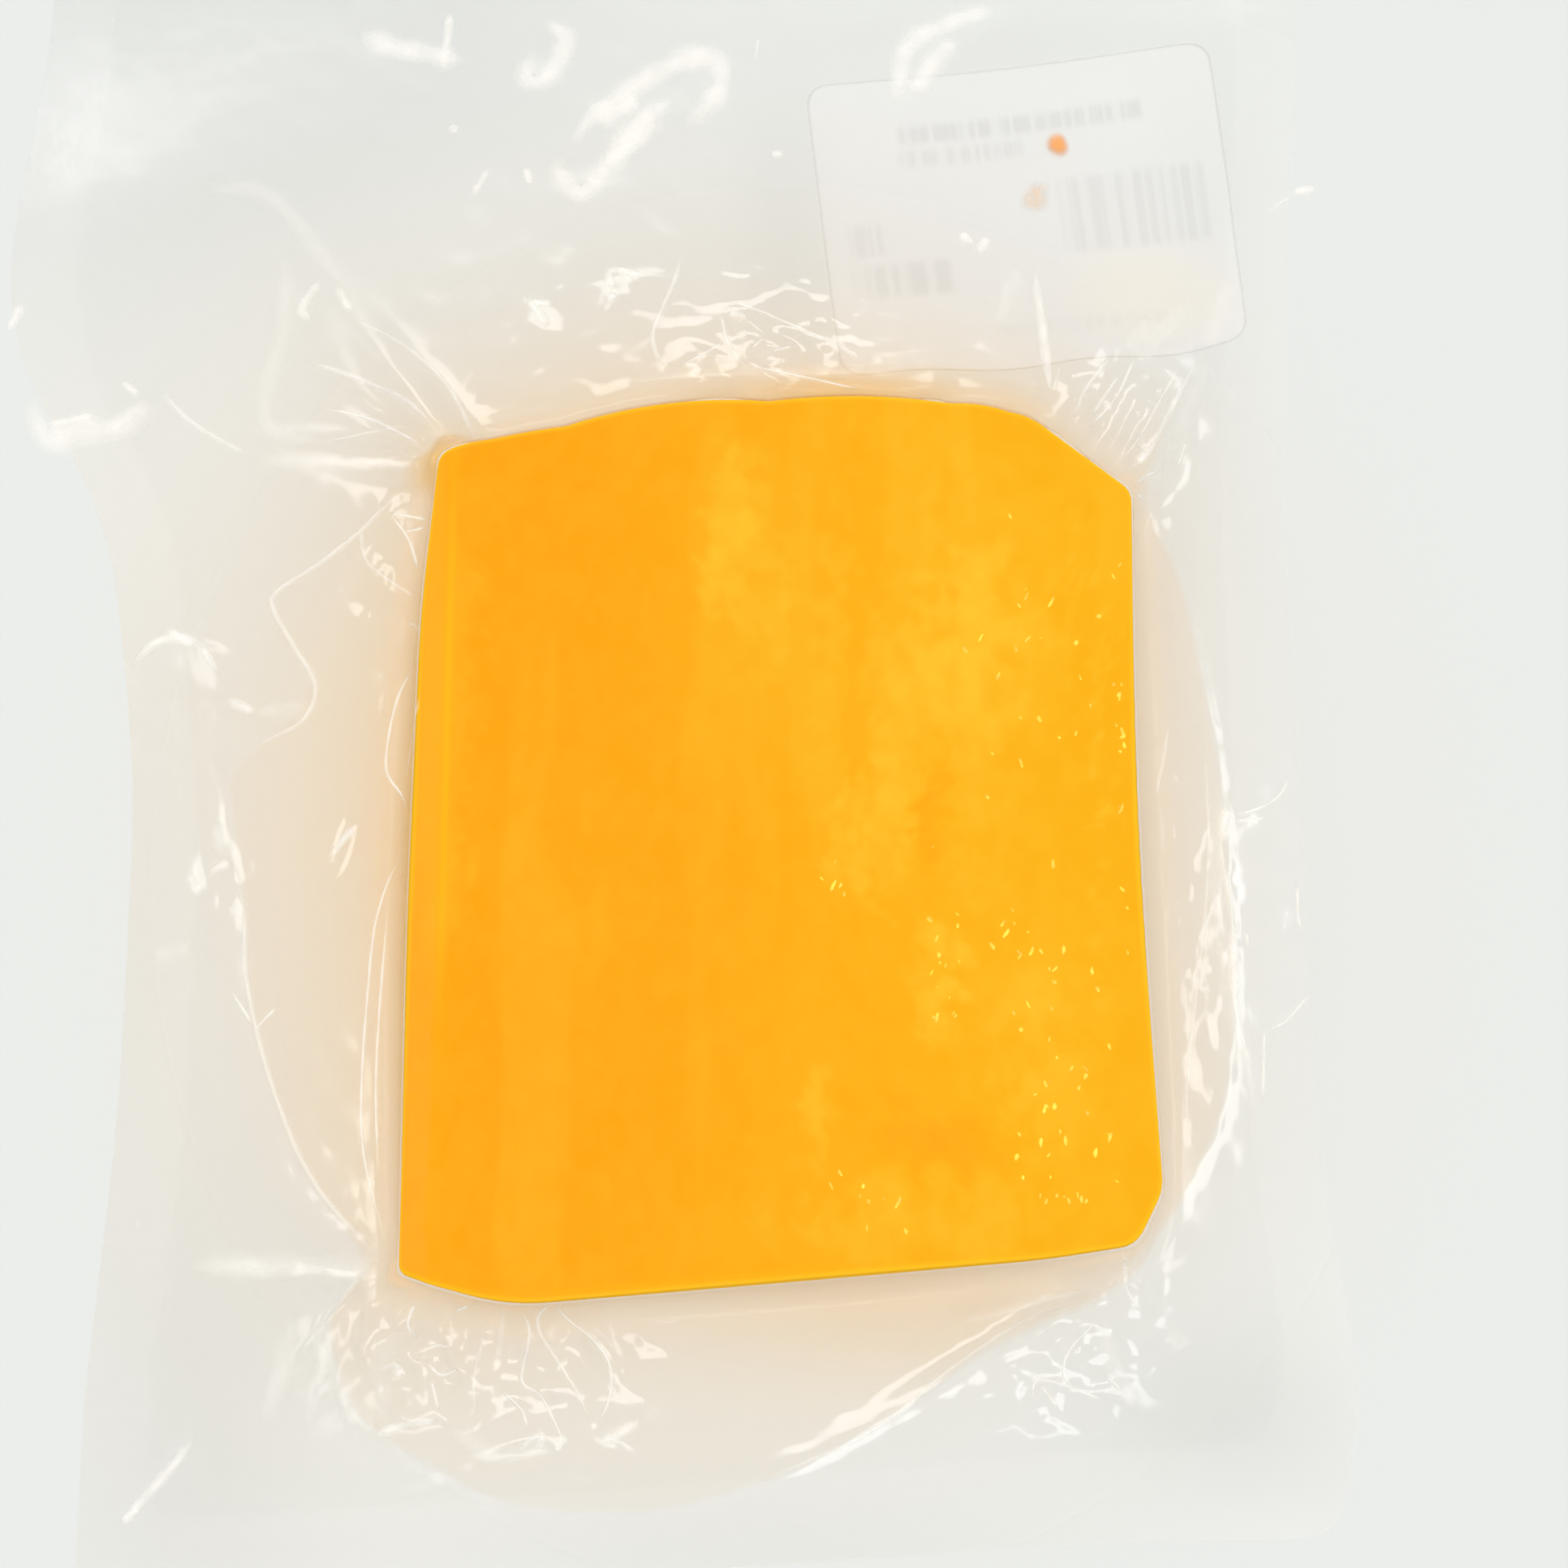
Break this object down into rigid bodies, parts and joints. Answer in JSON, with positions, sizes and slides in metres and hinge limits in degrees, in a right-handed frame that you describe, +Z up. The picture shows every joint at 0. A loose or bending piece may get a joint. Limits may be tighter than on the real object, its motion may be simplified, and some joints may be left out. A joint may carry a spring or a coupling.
{
  "type": "vacuum-packed cheddar block",
  "caption": "Flat block of orange cheddar, vacuum-sealed in a clear flat bag with creased film margins, with a plain scale label on the back of the bag.",
  "frame": {"origin": "on the surface the pack lies on, under the middle of the bag", "axes": "+Z up out of the block's top face, +Y from the bag's sealed bottom to its mouth, +X across the bag to the right"},
  "size_m": [0.1799, 0.2359, 0.022],
  "materials": {
    "cheese": "smooth waxy orange cheddar, wet-looking under the film",
    "film": "clear glossy vacuum film, slightly hazy, creased",
    "label_paper": "white thermal paper with faint grey print fields"
  },
  "bodies": {
    "root": {"sealed_pack": "cheese", "scale_label": "label_paper"}
  },
  "joints": []
}
